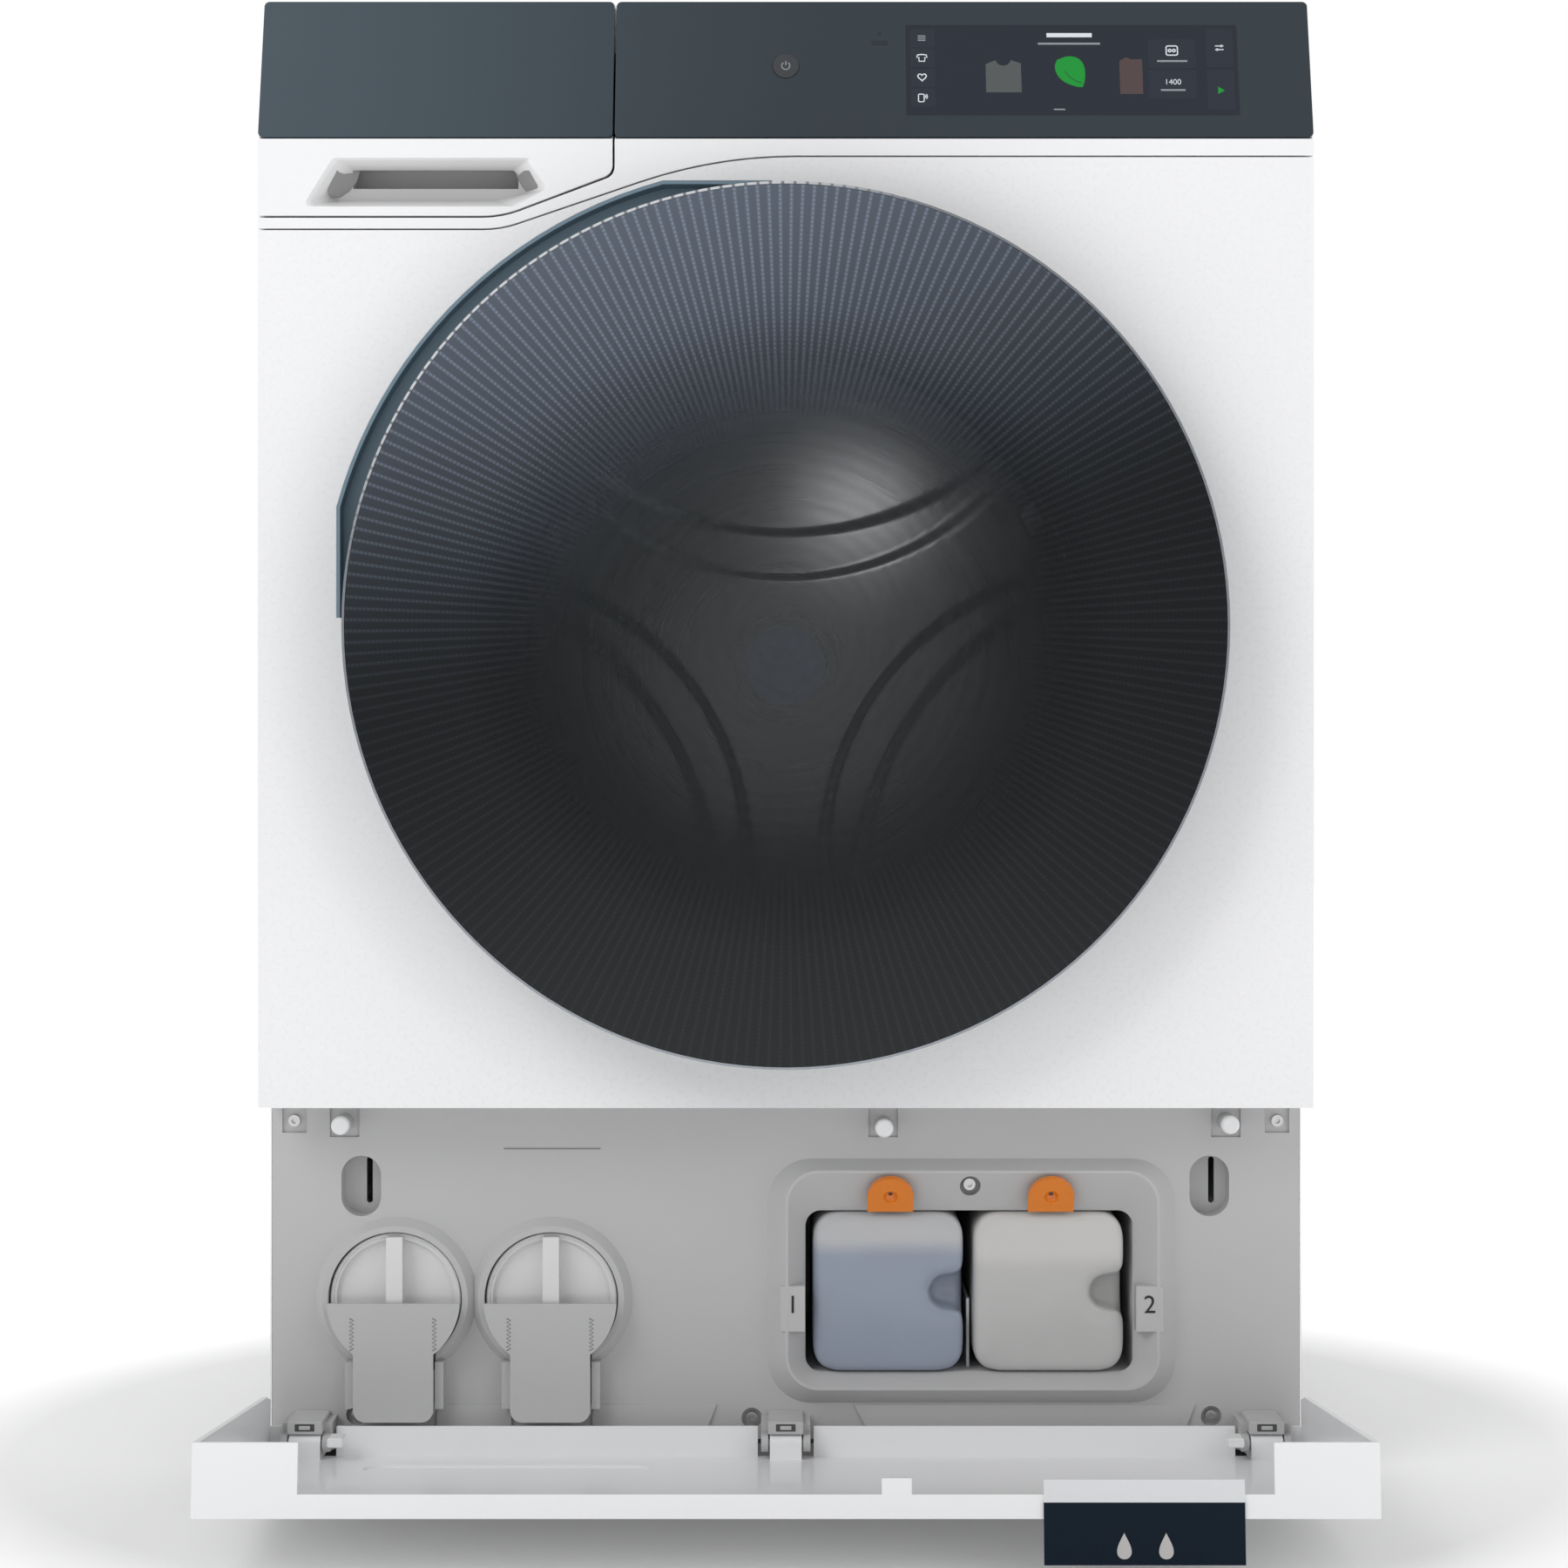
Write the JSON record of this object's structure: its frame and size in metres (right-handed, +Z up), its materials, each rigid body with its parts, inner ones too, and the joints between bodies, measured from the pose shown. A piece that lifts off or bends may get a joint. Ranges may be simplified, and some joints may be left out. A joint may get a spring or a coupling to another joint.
{
  "type": "front load washing machine",
  "caption": "Full-size front-loading washing machine with round glass door, tilted dark control band, detergent drawer and open plinth flap over filters and dosing bottles.",
  "frame": {"origin": "on the floor, at the middle of the rectangle of the four foot pads", "axes": "+X right as seen from the front, +Y from the front panel to the back panel, +Z up; the door faces -Y"},
  "size_m": [0.596, 0.7922, 0.85],
  "materials": {
    "white_enamel": "white baked enamel",
    "zinc_sheet": "plated sheet",
    "white_plastic": "white semi-gloss",
    "lid_board": "white laminate",
    "grey_plastic": "fine-grained grey",
    "base_plastic": "dark grey",
    "petrol_plastic": "petrol blue",
    "band_glass": "dark printed glass",
    "door_pane": "tinted glass",
    "clear_glass": "clear pressed glass",
    "door_ring": "dark with a bright rim",
    "light_plastic": "light grey",
    "button_plastic": "dark gloss",
    "board": "circuit board",
    "stainless": "brushed",
    "steel_parts": "bright steel",
    "cast_aluminium": "as cast",
    "tub_plastic": "filled polypropylene",
    "housing_iron": "cast",
    "concrete": "cast",
    "motor_steel": "dark",
    "seal_rubber": "grey rubber",
    "black_rubber": "black rubber",
    "connector_plastic": "black",
    "foot_plastic": "black",
    "lever_plastic": "orange",
    "bottle_blue": "translucent, blue contents",
    "bottle_milky": "translucent, milky contents",
    "tag_card": "navy card"
  },
  "bodies": {
    "cabinet": {"base_pan": "base_plastic", "side_panels": "white_enamel", "back_panel": "zinc_sheet", "front_panel": "white_enamel", "fascia": "white_plastic", "lid": "lid_board", "service_panel": "grey_plastic", "panel_screws": "steel_parts", "grip_recess": "petrol_plastic", "control_glass": "band_glass", "display_unit": "board", "dispenser_housing": "light_plastic", "rear_connectors": "connector_plastic", "hoses": "black_rubber", "filter_housing": "grey_plastic", "pumps": "base_plastic", "dosing_bay": "grey_plastic", "door_hinge_bracket": "zinc_sheet", "door_lock": "base_plastic", "gasket": "seal_rubber", "damper_cylinders": "steel_parts", "flap_fittings": "grey_plastic", "suspension_springs": "steel_parts", "rear_feet": "foot_plastic"},
    "tub": {"tub_rear": "tub_plastic", "tub_front": "tub_plastic", "bearing_housing": "housing_iron", "bearings": "steel_parts", "counterweights": "concrete", "heater": "steel_parts", "motor_body": "motor_steel", "drive_belt": "black_rubber", "damper_rods": "steel_parts"},
    "drum": {"drum_shell": "stainless", "drum_back": "stainless", "lifters": "stainless", "hub_cap": "stainless", "drum_shaft": "cast_aluminium", "drum_pulley": "cast_aluminium"},
    "rotor": {"motor_rotor": "motor_steel"},
    "door": {"door_frame": "door_ring", "door_glass": "door_pane", "door_bowl": "clear_glass", "door_fittings": "steel_parts"},
    "drawer": {"drawer_front": "white_plastic", "drawer_glass": "band_glass", "drawer_tray": "light_plastic"},
    "flap": {"flap_panel": "white_plastic", "flap_tag": "tag_card"},
    "power_button": {"power_button": "button_plastic"},
    "drain_filter_1": {"drain_filter_1": "light_plastic"},
    "drain_filter_2": {"drain_filter_2": "light_plastic"},
    "chute_1": {"chute_1": "grey_plastic"},
    "chute_2": {"chute_2": "grey_plastic"},
    "bottle_1": {"bottle_1": "bottle_blue"},
    "bottle_2": {"bottle_2": "bottle_milky"},
    "lever_1": {"lever_1": "lever_plastic"},
    "lever_2": {"lever_2": "lever_plastic"},
    "foot_front_left": {"foot_front_left": "foot_plastic"},
    "foot_front_right": {"foot_front_right": "foot_plastic"}
  },
  "joints": [
    {"name": "tub_bounce", "type": "slide", "parent": "cabinet", "child": "tub", "axis": [0, 0, 1], "range_m": [-0.01, 0.01], "stiffness_N_per_m": 12000, "springref_m": 0.05187, "deforming": ["suspension_springs", "gasket", "hoses"]},
    {"name": "drum_spin", "type": "hinge", "parent": "tub", "child": "drum", "pos_m": [0, 0, 0.487], "axis": [0, 1, 0], "continuous": true},
    {"name": "motor_spin", "type": "hinge", "parent": "tub", "child": "rotor", "pos_m": [0.163, 0.2, 0.205], "axis": [0, 1, 0], "continuous": true},
    {"name": "door_hinge", "type": "hinge", "parent": "cabinet", "child": "door", "pos_m": [0.228, -0.33, 0.4896], "axis": [0, 0, 1], "range_deg": [0, 135]},
    {"name": "drawer_slide", "type": "slide", "parent": "cabinet", "child": "drawer", "axis": [0, -1, 0], "range_m": [0, 0.21]},
    {"name": "flap_hinge", "type": "hinge", "parent": "cabinet", "child": "flap", "pos_m": [0, -0.288, 0.028], "axis": [1, 0, 0], "range_deg": [-84.3, 0]},
    {"name": "power_press", "type": "slide", "parent": "cabinet", "child": "power_button", "axis": [0, 0.9688, -0.2478], "range_m": [0, 0.0015], "stiffness_N_per_m": 600},
    {"name": "drain_filter_1_turn", "type": "hinge", "parent": "cabinet", "child": "drain_filter_1", "pos_m": [-0.225, -0.262, 0.106], "axis": [0, -1, 0], "range_deg": [0, 120]},
    {"name": "drain_filter_2_turn", "type": "hinge", "parent": "cabinet", "child": "drain_filter_2", "pos_m": [-0.135, -0.262, 0.106], "axis": [0, -1, 0], "range_deg": [0, 120]},
    {"name": "chute_1_fold", "type": "hinge", "parent": "cabinet", "child": "chute_1", "pos_m": [-0.225, -0.269, 0.045], "axis": [1, 0, 0], "range_deg": [0, 55]},
    {"name": "chute_2_fold", "type": "hinge", "parent": "cabinet", "child": "chute_2", "pos_m": [-0.135, -0.269, 0.045], "axis": [1, 0, 0], "range_deg": [0, 55]},
    {"name": "bottle_1_pull", "type": "slide", "parent": "cabinet", "child": "bottle_1", "axis": [0, -1, 0], "range_m": [0, 0.17]},
    {"name": "bottle_2_pull", "type": "slide", "parent": "cabinet", "child": "bottle_2", "axis": [0, -1, 0], "range_m": [0, 0.17]},
    {"name": "lever_1_press", "type": "hinge", "parent": "cabinet", "child": "lever_1", "pos_m": [0.0602, -0.26621, 0.15737], "axis": [1, 0, 0], "range_deg": [0, 20], "stiffness_Nm_per_rad": 0.2},
    {"name": "lever_2_press", "type": "hinge", "parent": "cabinet", "child": "lever_2", "pos_m": [0.1526, -0.26621, 0.15737], "axis": [1, 0, 0], "range_deg": [0, 20], "stiffness_Nm_per_rad": 0.2},
    {"name": "foot_front_left_level", "type": "slide", "parent": "cabinet", "child": "foot_front_left", "axis": [0, 0, -1], "range_m": [0, 0.02]},
    {"name": "foot_front_right_level", "type": "slide", "parent": "cabinet", "child": "foot_front_right", "axis": [0, 0, -1], "range_m": [0, 0.02]}
  ],
  "couplings": [
    {"joint": "motor_spin", "follows": "drum_spin", "ratio": 11.667}
  ]
}
